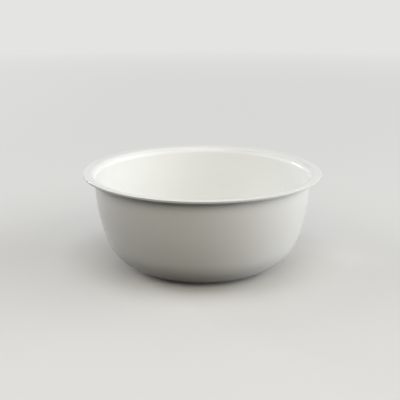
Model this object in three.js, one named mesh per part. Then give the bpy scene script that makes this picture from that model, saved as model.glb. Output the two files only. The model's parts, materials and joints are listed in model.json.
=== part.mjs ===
// A plastic wash basin: one thin-walled injection moulding with a rolled, almost flat lip.
// Millimetres, +Z up, origin at the centre of the foot ring's underside.

import * as THREE from 'three';

// Driving dimensions
const RIM_DIAMETER = 320; // across the outer edge of the lip
const HEIGHT = 132; // from the foot's underside to the top of the lip's edge
const WALL = 2.2; // floor, wall and lip are one even thickness
const LIP_FLAT = 7.7; // straight band of the lip, between the rolled shoulder and the edge
const LIP_RISE = 3; // degrees that the lip climbs outwards above level
const SHOULDER_RADIUS = 9; // inside of the wall rolls over into the lip's top
const EDGE_HEIGHT = 3.2; // outer face of the lip's edge, from top to bottom
const EDGE_DRAFT = 8; // degrees that this face leans in towards its bottom
const CREST_RADIUS = 0.5; // top corner of the edge
const BEAD_RADIUS = 1.1; // full round under the edge
const WALL_LEAN = 1.2; // degrees from upright, just under the lip
const CORNER_LEAN = 18.6; // degrees from upright, where the wall runs into the corner
const CORNER_RADIUS = 57; // outside of the curve between the wall and the base
const FOOT_HEIGHT = 2.5; // foot ring below the base
const FOOT_WIDTH = 3; // flat that the basin stands on
const FOOT_INSET = 3.5; // from the corner's curve in to the foot ring
const FOOT_DRAFT = 12; // degrees, each side of the foot ring
const GATE_RADIUS = 3; // injection point at the centre of the underside
const GATE_HEIGHT = 0.8; // how far the injection point stands below the base
const GATE_DRAFT = 45; // degrees, side of the injection point

// Facets: steps around the axis, and how far an arc may stand off its chords
const STEPS_AROUND = 80;
const CHORD_SAG = 0.15;

const POLYPROPYLENE = new THREE.MeshStandardMaterial({
  name: 'off_white_polypropylene',
  color: 0xf4f5f3,
  roughness: 0.3,
  metalness: 0,
});

const radians = THREE.MathUtils.degToRad;

// Unit vector at an angle, counted in degrees from the outward radius towards +Z.
function pointing(angle) {
  return new THREE.Vector2(Math.cos(radians(angle)), Math.sin(radians(angle)));
}

// Points of an arc from one angle to another, both ends included, with chords no deeper than CHORD_SAG.
function arc(centre, radius, from, to) {
  const stepAngle = 2 * Math.acos(1 - CHORD_SAG / radius);
  const steps = Math.ceil(Math.abs(radians(to - from)) / stepAngle);
  const clockwise = to < from;
  const curve = new THREE.EllipseCurve(
    centre.x, centre.y, radius, radius, radians(from), radians(to), clockwise,
  );
  return curve.getPoints(steps);
}

// Edge of the lip: a small top corner, a face that leans in towards its bottom, and under it a round that
// runs up to the lip's underside. The round's centre lies BEAD_RADIUS behind the face.
function lipEdge() {
  const lipNormal = pointing(90 + LIP_RISE);
  const faceNormal = pointing(-EDGE_DRAFT);
  const crest = new THREE.Vector2(RIM_DIAMETER / 2 - CREST_RADIUS, HEIGHT - CREST_RADIUS);
  const beadHeight = HEIGHT - EDGE_HEIGHT + BEAD_RADIUS;
  const beadReach = crest.dot(faceNormal) + CREST_RADIUS - BEAD_RADIUS;
  const bead = new THREE.Vector2((beadReach - beadHeight * faceNormal.y) / faceNormal.x, beadHeight);
  const aboveUnderside = bead.clone().sub(crest).dot(lipNormal) - CREST_RADIUS + WALL;
  const slant = THREE.MathUtils.radToDeg(Math.asin(aboveUnderside / BEAD_RADIUS));
  return {
    top: crest.clone().addScaledVector(lipNormal, CREST_RADIUS),
    outline: [
      ...arc(bead, BEAD_RADIUS, LIP_RISE - 180 + slant, -EDGE_DRAFT),
      ...arc(crest, CREST_RADIUS, -EDGE_DRAFT, 90 + LIP_RISE),
    ],
  };
}

// Centre shared by the lip's rolled shoulder and the fillet under it.
function shoulderCentre(edgeTop) {
  const shoulderEnd = edgeTop.clone().addScaledVector(pointing(LIP_RISE), -LIP_FLAT);
  return shoulderEnd.addScaledVector(pointing(LIP_RISE + 90), -SHOULDER_RADIUS);
}

// Wall and corner: two arcs that meet at CORNER_LEAN. The wall's arc ends under the lip at WALL_LEAN,
// and the corner's arc ends level, on the base. Their centres serve both faces of the moulding.
function bodyArcs(lipCentre) {
  const filletRadius = SHOULDER_RADIUS - WALL;
  const wallTop = lipCentre.clone().addScaledVector(pointing(-WALL_LEAN), -filletRadius);
  const cornerEnd = pointing(-CORNER_LEAN);
  const wallEnd = pointing(-WALL_LEAN);
  const cornerHeight = CORNER_RADIUS * (1 + cornerEnd.y);
  const wallRadius = (wallTop.y - FOOT_HEIGHT - cornerHeight) / (wallEnd.y - cornerEnd.y);
  const wallCentre = wallTop.clone().addScaledVector(wallEnd, -wallRadius);
  const cornerCentre = wallCentre.clone().addScaledVector(cornerEnd, wallRadius - CORNER_RADIUS);
  return { wallCentre, wallRadius, cornerCentre };
}

// Underside from the axis out to the base's edge: injection point, base panel and foot ring.
function underside(baseRadius) {
  const gateSlope = GATE_HEIGHT * Math.tan(radians(GATE_DRAFT));
  const footSlope = FOOT_HEIGHT * Math.tan(radians(FOOT_DRAFT));
  const footOuter = baseRadius - FOOT_INSET - footSlope;
  const footInner = footOuter - FOOT_WIDTH;
  return [
    [0, FOOT_HEIGHT - GATE_HEIGHT],
    [GATE_RADIUS, FOOT_HEIGHT - GATE_HEIGHT],
    [GATE_RADIUS + gateSlope, FOOT_HEIGHT],
    [footInner - footSlope, FOOT_HEIGHT],
    [footInner, 0],
    [footOuter, 0],
    [footOuter + footSlope, FOOT_HEIGHT],
  ].map(([radius, height]) => new THREE.Vector2(radius, height));
}

// Section of the moulding, from the axis on the underside, round the lip and back to the axis on the floor.
function section() {
  const edge = lipEdge();
  const lipCentre = shoulderCentre(edge.top);
  const { wallCentre, wallRadius, cornerCentre } = bodyArcs(lipCentre);
  const filletRadius = SHOULDER_RADIUS - WALL;
  const lipNormal = 90 + LIP_RISE;
  const wallNormal = 180 - WALL_LEAN;
  const outside = [
    ...arc(cornerCentre, CORNER_RADIUS, -90, -CORNER_LEAN),
    ...arc(wallCentre, wallRadius, -CORNER_LEAN, -WALL_LEAN).slice(1),
    ...arc(lipCentre, filletRadius, wallNormal, lipNormal).slice(1),
  ];
  const inside = [
    ...arc(lipCentre, SHOULDER_RADIUS, lipNormal, wallNormal),
    ...arc(wallCentre, wallRadius - WALL, -WALL_LEAN, -CORNER_LEAN).slice(1),
    ...arc(cornerCentre, CORNER_RADIUS - WALL, -CORNER_LEAN, -90).slice(1),
  ];
  const floorCentre = new THREE.Vector2(0, FOOT_HEIGHT + WALL);
  return [...underside(cornerCentre.x), ...outside, ...edge.outline, ...inside, floorCentre];
}

// The section turned about the axis, which is then stood upright.
function basin() {
  const geometry = new THREE.LatheGeometry(section(), STEPS_AROUND);
  geometry.rotateX(Math.PI / 2);
  const mesh = new THREE.Mesh(geometry, POLYPROPYLENE);
  mesh.name = 'basin';
  return mesh;
}

const model = new THREE.Group();
model.add(basin());

export default model;
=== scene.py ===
"""A plastic wash basin, dressed for its picture: one off-white moulding turned from a closed section."""

import json
import math

import bpy
import numpy as np
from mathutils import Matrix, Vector


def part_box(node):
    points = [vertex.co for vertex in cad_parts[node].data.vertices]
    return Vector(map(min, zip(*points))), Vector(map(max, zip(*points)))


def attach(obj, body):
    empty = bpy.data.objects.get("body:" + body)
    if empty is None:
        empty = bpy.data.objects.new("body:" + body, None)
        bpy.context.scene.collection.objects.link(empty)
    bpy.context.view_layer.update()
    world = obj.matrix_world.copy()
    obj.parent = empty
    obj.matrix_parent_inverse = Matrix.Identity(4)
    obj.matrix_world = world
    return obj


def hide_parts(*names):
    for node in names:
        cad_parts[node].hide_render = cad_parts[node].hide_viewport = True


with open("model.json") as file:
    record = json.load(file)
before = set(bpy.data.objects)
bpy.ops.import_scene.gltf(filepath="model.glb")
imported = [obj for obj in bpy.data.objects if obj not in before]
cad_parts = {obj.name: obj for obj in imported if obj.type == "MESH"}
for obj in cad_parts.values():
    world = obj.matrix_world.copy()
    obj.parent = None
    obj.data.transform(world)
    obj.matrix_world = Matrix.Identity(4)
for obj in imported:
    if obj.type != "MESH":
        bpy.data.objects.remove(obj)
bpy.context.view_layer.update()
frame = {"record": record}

MM = 0.001

# Sizes that the frame gives
RIM_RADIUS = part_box("basin")[1].x
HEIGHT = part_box("basin")[1].z
FLOOR_HEIGHT = next(m["pos_m"][2] for m in frame["record"]["mounts"] if m["name"] == "floor")

# Sizes of the moulding
WALL = 2.2 * MM
FOOT_HEIGHT = FLOOR_HEIGHT - WALL
LIP_FLAT = 7.7 * MM
LIP_RISE = math.radians(3)
SHOULDER_RADIUS = 9 * MM
EDGE_HEIGHT = 3.2 * MM
EDGE_DRAFT = math.radians(8)
CREST_RADIUS = 0.5 * MM
BEAD_RADIUS = 1.1 * MM
WALL_LEAN = math.radians(1.2)
CORNER_LEAN = math.radians(18.6)
CORNER_RADIUS = 57 * MM
FOOT_WIDTH = 3 * MM
FOOT_INSET = 3.5 * MM
FOOT_DRAFT = math.radians(12)
FOOT_ROUND = 0.5 * MM
GATE_RADIUS = 3 * MM
GATE_HEIGHT = 0.8 * MM
GATE_DRAFT = math.radians(45)
GATE_ROUND = 0.3 * MM

# Grid of the turned surface
STEPS_AROUND = 360
ARC_STEP = math.radians(6)
LONGEST_STEP = 4 * MM

# Camera
CAMERA_PLACE = (-0.003, -1.0883, 0.3965)
CAMERA_PITCH = math.radians(15.78)
SENSOR_WIDTH = 36
LENS = 74.36

# Floor, in metres from the basin's axis: it shows only its own paint out to SHADOW_REACH, takes on SWEEP_GLOW
# of the backdrop's glow at SWEEP_START, and all of it from SWEEP_END on. The glow is painted light. Its fade
# towards the basin is painted shade, which darkens the floor around the basin
FLOOR_HALF = 12.0
SHADOW_REACH = 0.18
SWEEP_START = 0.5
SWEEP_END = 3.0
SWEEP_GLOW = 0.45

# Backdrop: it dims to DIM_STRENGTH between two slopes, each the height of a unit vector that points there
BACKDROP = "#e4e4e2"
DIM_START = 0.24
DIM_END = 0.42
DIM_STRENGTH = 0.35


def pointing(angle):
    """Unit vector at an angle, counted from the outward radius towards up."""
    return np.array([math.cos(angle), math.sin(angle)])


def arc(centre, radius, start, end):
    """Points at equal angles on a circle from one angle to another, both ends included."""
    by_angle = abs(end - start) / ARC_STEP
    by_length = abs(end - start) * radius / LONGEST_STEP
    angle = np.linspace(start, end, math.ceil(max(by_angle, by_length)) + 1)
    return centre + radius * np.stack([np.cos(angle), np.sin(angle)], axis=1)


def line(start, end):
    """Evenly spaced points between two points, without the ends."""
    steps = math.ceil(np.linalg.norm(end - start) / LONGEST_STEP)
    share = np.linspace(0, 1, steps + 1)[1:-1, None]
    return start + share * (end - start)


def rounded_corner(before, corner, after, radius):
    """Arc of a given radius that touches both sides of a corner: its centre lies on the bisector, at
    radius / sin(half the corner's angle) from the corner, and it runs between the feet of the perpendiculars
    on the two sides."""
    back = (before - corner) / np.linalg.norm(before - corner)
    ahead = (after - corner) / np.linalg.norm(after - corner)
    half = math.acos(np.dot(back, ahead)) / 2
    bisector = (back + ahead) / np.linalg.norm(back + ahead)
    centre = corner + bisector * radius / math.sin(half)
    reach = radius / math.tan(half)
    first = corner + back * reach - centre
    last = corner + ahead * reach - centre
    start = math.atan2(first[1], first[0])
    turn = math.atan2(first[0] * last[1] - first[1] * last[0], np.dot(first, last))
    return arc(centre, radius, start, start + turn)


def joined(stretches):
    """One run of points from several, with straight lines of even steps between them."""
    run = [stretches[0]]
    for stretch in stretches[1:]:
        run += [line(run[-1][-1], stretch[0]), stretch]
    return np.concatenate(run)


def underside(base_radius):
    """Underside from the axis to the corner's curve: the injection point, the base panel and the foot ring,
    straight lines whose corners are rounded."""
    gate_slope = GATE_HEIGHT * math.tan(GATE_DRAFT)
    foot_slope = FOOT_HEIGHT * math.tan(FOOT_DRAFT)
    foot_outer = base_radius - FOOT_INSET - foot_slope
    foot_inner = foot_outer - FOOT_WIDTH
    corners = np.array([
        [0, FOOT_HEIGHT - GATE_HEIGHT],
        [GATE_RADIUS, FOOT_HEIGHT - GATE_HEIGHT],
        [GATE_RADIUS + gate_slope, FOOT_HEIGHT],
        [foot_inner - foot_slope, FOOT_HEIGHT],
        [foot_inner, 0],
        [foot_outer, 0],
        [foot_outer + foot_slope, FOOT_HEIGHT],
        [base_radius, FOOT_HEIGHT],
    ])
    rounds = [GATE_ROUND] * 2 + [FOOT_ROUND] * 4
    bends = [rounded_corner(*corners[k:k + 3], radius) for k, radius in enumerate(rounds)]
    return joined([corners[:1], *bends, corners[-1:]])


def lip_edge():
    """Top of the lip's edge, and its outline from the lip's underside round to that top: a small top corner,
    a face that leans in towards its bottom, and under it a round that runs up to the lip's underside. The
    round's centre lies its own radius behind the face."""
    lip_normal = pointing(math.pi / 2 + LIP_RISE)
    face_normal = pointing(-EDGE_DRAFT)
    crest = np.array([RIM_RADIUS - CREST_RADIUS, HEIGHT - CREST_RADIUS])
    bead_height = HEIGHT - EDGE_HEIGHT + BEAD_RADIUS
    bead_reach = crest @ face_normal + CREST_RADIUS - BEAD_RADIUS
    bead = np.array([(bead_reach - bead_height * face_normal[1]) / face_normal[0], bead_height])
    above_underside = (bead - crest) @ lip_normal - CREST_RADIUS + WALL
    bead_start = LIP_RISE - math.pi + math.asin(above_underside / BEAD_RADIUS)
    outline = joined([
        arc(bead, BEAD_RADIUS, bead_start, -EDGE_DRAFT),
        arc(crest, CREST_RADIUS, -EDGE_DRAFT, math.pi / 2 + LIP_RISE),
    ])
    return crest + CREST_RADIUS * lip_normal, outline


def section():
    """Section of the moulding from the axis under the base, round the lip and back to the axis on the floor.
    The outside and the inside are arcs about the same centres, one wall thickness apart: a corner arc that
    starts level, a long wall arc, and the roll of the lip."""
    lip_normal = math.pi / 2 + LIP_RISE
    wall_normal = math.pi - WALL_LEAN
    edge_top, edge = lip_edge()
    lip_centre = edge_top - LIP_FLAT * pointing(LIP_RISE) - SHOULDER_RADIUS * pointing(lip_normal)
    fillet_radius = SHOULDER_RADIUS - WALL
    wall_end = pointing(-WALL_LEAN)
    corner_end = pointing(-CORNER_LEAN)
    wall_top = lip_centre - fillet_radius * wall_end
    corner_height = CORNER_RADIUS * (1 + corner_end[1])
    wall_radius = (wall_top[1] - FOOT_HEIGHT - corner_height) / (wall_end[1] - corner_end[1])
    wall_centre = wall_top - wall_radius * wall_end
    corner_centre = wall_centre + (wall_radius - CORNER_RADIUS) * corner_end
    level = -math.pi / 2
    outside = [
        arc(corner_centre, CORNER_RADIUS, level, -CORNER_LEAN)[1:],
        arc(wall_centre, wall_radius, -CORNER_LEAN, -WALL_LEAN)[1:],
        arc(lip_centre, fillet_radius, wall_normal, lip_normal)[1:],
    ]
    inside = [
        arc(lip_centre, SHOULDER_RADIUS, lip_normal, wall_normal),
        arc(wall_centre, wall_radius - WALL, -WALL_LEAN, -CORNER_LEAN)[1:],
        arc(corner_centre, CORNER_RADIUS - WALL, -CORNER_LEAN, level)[1:],
    ]
    floor_centre = np.array([[0, FLOOR_HEIGHT]])
    outside = np.concatenate([underside(corner_centre[0]), *outside])
    return joined([outside, edge, np.concatenate(inside), floor_centre])


def turned(name, outline):
    """Mesh of an outline turned about the axis: each point of the outline, at radius r and height z, is
    carried to (r cos a, r sin a, z) at each angle a. The first and last points lie on the axis and close the
    ends as poles."""
    angle = np.linspace(0, 2 * math.pi, STEPS_AROUND, endpoint=False)
    radius, height = outline[1:-1, 0, None], outline[1:-1, 1, None]
    rings = np.stack(np.broadcast_arrays(radius * np.cos(angle), radius * np.sin(angle), height), axis=2)
    poles = np.array([[0, 0, outline[0, 1]], [0, 0, outline[-1, 1]]])
    vertices = np.concatenate([rings.reshape(-1, 3), poles])
    index = np.arange(rings.shape[0] * STEPS_AROUND).reshape(-1, STEPS_AROUND)
    ahead = np.roll(index, -1, axis=1)
    quads = np.stack([index[:-1], ahead[:-1], ahead[1:], index[1:]], axis=2).reshape(-1, 4)
    first_pole, last_pole = index.size, index.size + 1
    first_fan = np.stack([np.full(STEPS_AROUND, first_pole), ahead[0], index[0]], axis=1)
    last_fan = np.stack([index[-1], ahead[-1], np.full(STEPS_AROUND, last_pole)], axis=1)
    mesh = bpy.data.meshes.new(name)
    mesh.from_pydata(vertices.tolist(), [], quads.tolist() + first_fan.tolist() + last_fan.tolist())
    mesh.polygons.foreach_set("use_smooth", np.ones(len(mesh.polygons), dtype=bool))
    mesh.update()
    piece = bpy.data.objects.new(name, mesh)
    bpy.context.scene.collection.objects.link(piece)
    return piece


def linear(hex_colour):
    """Linear colour with alpha from an sRGB hex value."""
    channels = np.array([int(hex_colour[k:k + 2], 16) for k in (1, 3, 5)]) / 255
    low, high = channels / 12.92, ((channels + 0.055) / 1.055) ** 2.4
    return (*np.where(channels <= 0.04045, low, high), 1.0)


def add_node(tree, kind, links=None, values=None, **settings):
    """Adds a node: links feed its inputs, values are its inputs' own values, settings are its properties."""
    node = tree.nodes.new(kind)
    for key, value in settings.items():
        setattr(node, key, value)
    for key, value in (values or {}).items():
        node.inputs[key].default_value = value
    for key, source in (links or {}).items():
        tree.links.new(source, node.inputs[key])
    return node


def new_tree(name):
    """A material with an empty node tree, and the tree."""
    material = bpy.data.materials.new(name)
    material.use_nodes = True
    material.node_tree.nodes.clear()
    return material, material.node_tree


def moulded_polypropylene():
    """Injection-moulded polypropylene, pigmented off-white, from a turned and polished steel mould. The eye
    sees an even white with a soft gloss. Close to, the pigment clouds a little where the melt flowed, the
    gloss ripples and carries faint rings from the mould's polishing, the foot and the lip's edge are scuffed
    dull and greyer, and the floor and the base have hairline scratches."""
    material, tree = new_tree("moulded_polypropylene_off_white")
    place = add_node(tree, "ShaderNodeTexCoord").outputs["Object"]
    axes = add_node(tree, "ShaderNodeSeparateXYZ", {"Vector": place}).outputs
    level = add_node(tree, "ShaderNodeCombineXYZ", {"X": axes["X"], "Y": axes["Y"]}).outputs["Vector"]
    radius = add_node(tree, "ShaderNodeVectorMath", {0: level}, operation="LENGTH").outputs["Value"]

    # pigment, in clouds of a few centimetres
    cloud = add_node(
        tree, "ShaderNodeTexNoise", {"Vector": place},
        {"Scale": 1 / (45 * MM), "Detail": 3.0, "Roughness": 0.5},
    )
    pigment = add_node(tree, "ShaderNodeMix", {"Factor": cloud.outputs["Fac"]}, data_type="RGBA")
    pigment.inputs["A"].default_value = linear("#f3f4f2")
    pigment.inputs["B"].default_value = linear("#f6f7f5")

    # scuffs, in patches of a few millimetres on the foot and on the lip's edge
    foot = add_node(
        tree, "ShaderNodeMapRange", {"Value": axes["Z"]},
        {"From Min": 1.8 * MM, "From Max": 0.2 * MM},
    )
    lip = add_node(
        tree, "ShaderNodeMapRange", {"Value": radius},
        {"From Min": RIM_RADIUS - 1.2 * MM, "From Max": RIM_RADIUS, "To Max": 0.4},
    )
    rubbed = add_node(
        tree, "ShaderNodeMath", {0: foot.outputs["Result"], 1: lip.outputs["Result"]}, operation="MAXIMUM",
    )
    patches = add_node(
        tree, "ShaderNodeTexNoise", {"Vector": place},
        {"Scale": 1 / (5 * MM), "Detail": 4.0, "Roughness": 0.65},
    )
    worn = add_node(
        tree, "ShaderNodeMapRange", {"Value": patches.outputs["Fac"]},
        {"From Min": 0.4, "From Max": 0.65, "To Max": 0.5},
    )
    scuff = add_node(
        tree, "ShaderNodeMath", {0: rubbed.outputs["Value"], 1: worn.outputs["Result"]}, operation="MULTIPLY",
    )
    colour = add_node(
        tree, "ShaderNodeMix", {"Factor": scuff.outputs["Value"], "A": pigment.outputs["Result"]},
        data_type="RGBA",
    )
    colour.inputs["B"].default_value = linear("#c9c6be")

    # hairline scratches on the floor and the base: narrow bands about one value of a slow noise
    low_down = add_node(
        tree, "ShaderNodeMapRange", {"Value": axes["Z"]},
        {"From Min": 9 * MM, "From Max": 5 * MM, "To Max": 0.12},
    )
    strokes = add_node(
        tree, "ShaderNodeTexNoise", {"Vector": place},
        {"Scale": 1 / (16 * MM), "Detail": 1.0, "Distortion": 1.5},
    )
    off_line = add_node(
        tree, "ShaderNodeMath", {0: strokes.outputs["Fac"]}, {1: 0.5}, operation="SUBTRACT",
    )
    off_line = add_node(tree, "ShaderNodeMath", {0: off_line.outputs["Value"]}, operation="ABSOLUTE")
    scratch = add_node(
        tree, "ShaderNodeMapRange",
        {"Value": off_line.outputs["Value"], "To Min": low_down.outputs["Result"]},
        {"From Max": 0.012, "To Max": 0.0},
    )

    # rings from the mould's polishing: a noise read along the section and hardly at all around the axis.
    # The real marks are finer than a tenth of a millimetre and are drawn coarser so that they show.
    along = add_node(tree, "ShaderNodeMath", {0: radius, 1: axes["Z"]}, operation="ADD")
    around = add_node(tree, "ShaderNodeVectorMath", {0: level}, operation="NORMALIZE")
    along = add_node(tree, "ShaderNodeCombineXYZ", {"Z": along.outputs["Value"]})
    ring_place = add_node(
        tree, "ShaderNodeVectorMath", {0: around.outputs["Vector"], 2: along.outputs["Vector"]},
        {1: (2.5 * MM,) * 3}, operation="MULTIPLY_ADD",
    )
    rings = add_node(
        tree, "ShaderNodeTexNoise", {"Vector": ring_place.outputs["Vector"]},
        {"Scale": 1 / (1.2 * MM), "Detail": 2.0, "Roughness": 0.6},
    )

    # gloss: the rings vary it, scuffs and scratches dull it
    gloss = add_node(
        tree, "ShaderNodeMapRange", {"Value": rings.outputs["Fac"]},
        {"From Min": 0.25, "From Max": 0.75, "To Min": 0.18, "To Max": 0.24},
    )
    gloss = add_node(
        tree, "ShaderNodeMath", {0: scuff.outputs["Value"], 2: gloss.outputs["Result"]}, {1: 0.5},
        operation="MULTIPLY_ADD",
    )
    gloss = add_node(
        tree, "ShaderNodeMath", {0: gloss.outputs["Value"], 1: scratch.outputs["Result"]}, operation="ADD",
    )

    # ripple of the cooled skin, with the rings on it
    ripple = add_node(
        tree, "ShaderNodeTexNoise", {"Vector": place},
        {"Scale": 1 / (9 * MM), "Detail": 2.0, "Roughness": 0.4},
    )
    relief = add_node(
        tree, "ShaderNodeMath", {0: rings.outputs["Fac"], 2: ripple.outputs["Fac"]}, {1: 0.04},
        operation="MULTIPLY_ADD",
    )
    bump = add_node(
        tree, "ShaderNodeBump", {"Height": relief.outputs["Value"]},
        {"Strength": 0.1, "Distance": 0.3 * MM},
    )
    shader = add_node(
        tree, "ShaderNodeBsdfPrincipled",
        {
            "Base Color": colour.outputs["Result"],
            "Roughness": gloss.outputs["Value"],
            "Normal": bump.outputs["Normal"],
        },
        {"IOR": 1.49},
    )
    add_node(tree, "ShaderNodeOutputMaterial", {"Surface": shader.outputs["BSDF"]})
    return material


def seen(tree):
    """1 where the eye looks straight at a surface, or sees it in a gloss or through something clear, and
    otherwise 0."""
    path = add_node(tree, "ShaderNodeLightPath").outputs
    straight_or_gloss = add_node(
        tree, "ShaderNodeMath", {0: path["Is Camera Ray"], 1: path["Is Glossy Ray"]}, operation="MAXIMUM",
    )
    return add_node(
        tree, "ShaderNodeMath", {0: straight_or_gloss.outputs["Value"], 1: path["Is Transmission Ray"]},
        operation="MAXIMUM",
    ).outputs["Value"]


def pale_floor_paint():
    """Flat paint with no gloss. To the eye it is pale grey with the basin's shadow on it, and further out it
    passes into the glow of the backdrop, like a paper sweep. The glow is painted light. It fades out towards
    the basin, which paints shade on the floor around the basin. In the light that it gives back it is a
    dark, warm grey."""
    material, tree = new_tree("pale_floor_paint")
    to_the_eye = seen(tree)
    colour = add_node(tree, "ShaderNodeMix", {"Factor": to_the_eye}, data_type="RGBA")
    colour.inputs["A"].default_value = linear("#2b2822")
    colour.inputs["B"].default_value = linear("#e8e8e6")
    paint = add_node(tree, "ShaderNodeBsdfDiffuse", {"Color": colour.outputs["Result"]})
    glow = add_node(tree, "ShaderNodeEmission", None, {"Color": linear(BACKDROP), "Strength": 1.0})
    place = add_node(tree, "ShaderNodeTexCoord").outputs["Object"]
    distance = add_node(tree, "ShaderNodeVectorMath", {0: place}, operation="LENGTH").outputs["Value"]
    share = add_node(
        tree, "ShaderNodeMapRange", {"Value": distance},
        {"From Min": SWEEP_START, "From Max": SWEEP_END, "To Min": SWEEP_GLOW, "To Max": 1.0},
    )
    # painted shade: the glow fades out towards the basin, so the floor darkens around it, and there the
    # lamps' own shadow shows in full
    glow_fading_towards_basin = add_node(
        tree, "ShaderNodeMapRange", {"Value": distance},
        {"From Min": SHADOW_REACH, "From Max": SWEEP_START},
    )
    share = add_node(
        tree, "ShaderNodeMath", {0: share.outputs["Result"], 1: glow_fading_towards_basin.outputs["Result"]},
        operation="MULTIPLY",
    )
    share = add_node(
        tree, "ShaderNodeMath", {0: share.outputs["Value"], 1: to_the_eye}, operation="MULTIPLY",
    )
    shader = add_node(
        tree, "ShaderNodeMixShader",
        {0: share.outputs["Value"], 1: paint.outputs["BSDF"], 2: glow.outputs["Emission"]},
    )
    add_node(tree, "ShaderNodeOutputMaterial", {"Surface": shader.outputs["Shader"]})
    material.cycles.emission_sampling = "NONE"
    return material


def make_basin():
    """The whole basin, in place of its CAD node."""
    basin = turned("basin_moulding", section())
    basin.data.materials.append(moulded_polypropylene())
    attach(basin, "root")
    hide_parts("basin")


def make_floor():
    """A level square under the basin."""
    near, far = -FLOOR_HALF, FLOOR_HALF
    corners = [(near, near, 0), (far, near, 0), (far, far, 0), (near, far, 0)]
    mesh = bpy.data.meshes.new("floor")
    mesh.from_pydata(corners, [], [(0, 1, 2, 3)])
    mesh.materials.append(pale_floor_paint())
    floor = bpy.data.objects.new("floor", mesh)
    bpy.context.scene.collection.objects.link(floor)


def make_softbox(name, azimuth, elevation, distance, width, height, power, colour):
    """An oblong area lamp that faces the middle of the basin. Azimuth, from +X towards +Y, and elevation are
    in degrees, lengths in metres and power in watts."""
    turn, climb = math.radians(azimuth), math.radians(elevation)
    away = Vector((math.cos(turn) * math.cos(climb), math.sin(turn) * math.cos(climb), math.sin(climb)))
    lamp = bpy.data.lights.new(name, "AREA")
    lamp.shape = "RECTANGLE"
    lamp.size = width
    lamp.size_y = height
    lamp.energy = power
    lamp.color = linear(colour)[:3]
    light = bpy.data.objects.new(name, lamp)
    light.location = Vector((0, 0, HEIGHT / 2)) + distance * away
    light.rotation_euler = away.to_track_quat("Z", "Y").to_euler()
    light.visible_camera = False
    bpy.context.scene.collection.objects.link(light)


def make_world():
    """A backdrop that gives no light but is seen, straight or in a gloss: pale near the level, and darker
    higher up."""
    world = bpy.data.worlds.new("studio")
    world.use_nodes = True
    tree = world.node_tree
    tree.nodes.clear()
    direction = add_node(tree, "ShaderNodeTexCoord").outputs["Generated"]
    climb = add_node(tree, "ShaderNodeSeparateXYZ", {"Vector": direction}).outputs["Z"]
    falloff = add_node(
        tree, "ShaderNodeMapRange", {"Value": climb},
        {"From Min": DIM_START, "From Max": DIM_END, "To Min": 1.0, "To Max": DIM_STRENGTH},
    )
    strength = add_node(
        tree, "ShaderNodeMath", {0: falloff.outputs["Result"], 1: seen(tree)}, operation="MULTIPLY",
    )
    backdrop = add_node(
        tree, "ShaderNodeBackground", {"Strength": strength.outputs["Value"]}, {"Color": linear(BACKDROP)},
    )
    add_node(tree, "ShaderNodeOutputWorld", {"Surface": backdrop.outputs["Background"]})
    bpy.context.scene.world = world


def make_camera():
    """The camera in front of the basin, tipped down towards it."""
    data = bpy.data.cameras.new("camera")
    data.sensor_width = SENSOR_WIDTH
    data.lens = LENS
    camera = bpy.data.objects.new("camera", data)
    camera.location = CAMERA_PLACE
    camera.rotation_euler = (math.pi / 2 - CAMERA_PITCH, 0, 0)
    bpy.context.scene.collection.objects.link(camera)
    bpy.context.scene.camera = camera


make_camera()
make_basin()
make_floor()
# name, azimuth, elevation, distance, width, height, power, colour
make_softbox("right_panel", -8, 23, 3, 4.5, 1.8, 76, "#ffffff")
make_softbox("right_strip", 10, 1.5, 3.7, 2.5, 0.3, 40, "#ffffff")
make_softbox("left_back_lamp", 138, 11, 3, 0.55, 0.55, 18, "#ffffff")
make_softbox("left_panel", 183, 29, 3, 3, 2.2, 37, "#ffffff")
make_softbox("top_lamp", 270, 75, 1.6, 0.8, 0.8, 5.8, "#f4f8ff")
make_softbox("back_panel", 90, 50, 2.6, 3, 2, 10.5, "#ffffff")
make_softbox("front_panel", 270, 36, 3, 3.3, 1.2, 27, "#fff5de")
make_world()
bpy.context.scene.view_settings.view_transform = "Standard"
